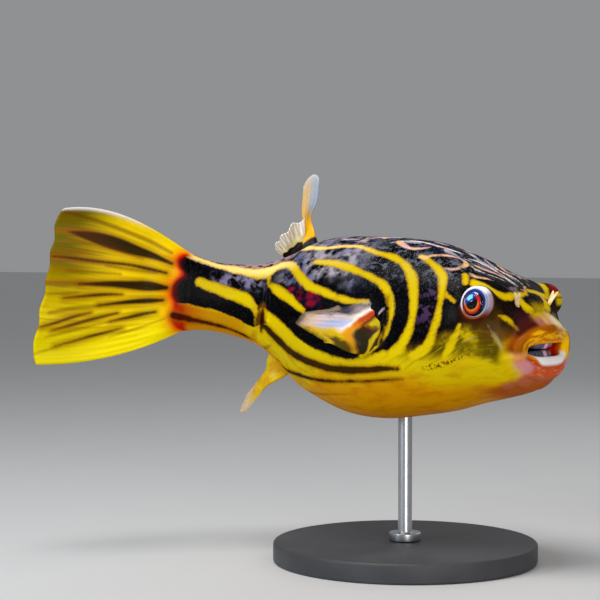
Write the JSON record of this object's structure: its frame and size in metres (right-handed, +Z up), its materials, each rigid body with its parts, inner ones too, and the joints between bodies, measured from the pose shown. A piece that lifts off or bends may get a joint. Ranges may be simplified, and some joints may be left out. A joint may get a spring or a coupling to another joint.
{
  "type": "freshwater pufferfish display model",
  "caption": "Life-size pufferfish with a striped yellow and black skin, a blunt head with beak and bulging eyes and a fan tail bent to one side, held by a rod on a round foot.",
  "frame": {"origin": "middle of the underside of the stand's round foot, below the rod", "axes": "+X is the way the trunk faces, towards the head; +Z is up; -Y is the fish's right side, the concave side of its bend"},
  "size_m": [0.2461, 0.1567, 0.1935],
  "materials": {
    "skin": "wet fish skin, golden yellow with black and blue-grey stripes",
    "fin": "wet rayed fin, yellow with dark streaks and pale edges",
    "lip": "wet fleshy lip, orange-brown with a pale rim",
    "beak": "smooth enamel, blue-grey to ivory",
    "eye": "polished clear eye with a red iris and a blue-black pupil",
    "stand_paint": "fine textured charcoal powder coat",
    "stand_steel": "brushed steel rod and collar"
  },
  "bodies": {
    "root": {"head": "skin", "trunk": "skin", "tail_stem": "skin", "lip_upper": "lip", "lip_lower": "lip", "beak_upper": "beak", "beak_lower": "beak", "eye_right": "eye", "eye_left": "eye", "nostril_right": "skin", "nostril_left": "skin", "pectoral_fin_right": "fin", "pectoral_fin_left": "fin", "dorsal_fin": "fin", "anal_fin": "fin", "caudal_fin": "fin", "stand_foot": "stand_paint", "stand_rod": "stand_steel"}
  },
  "joints": []
}
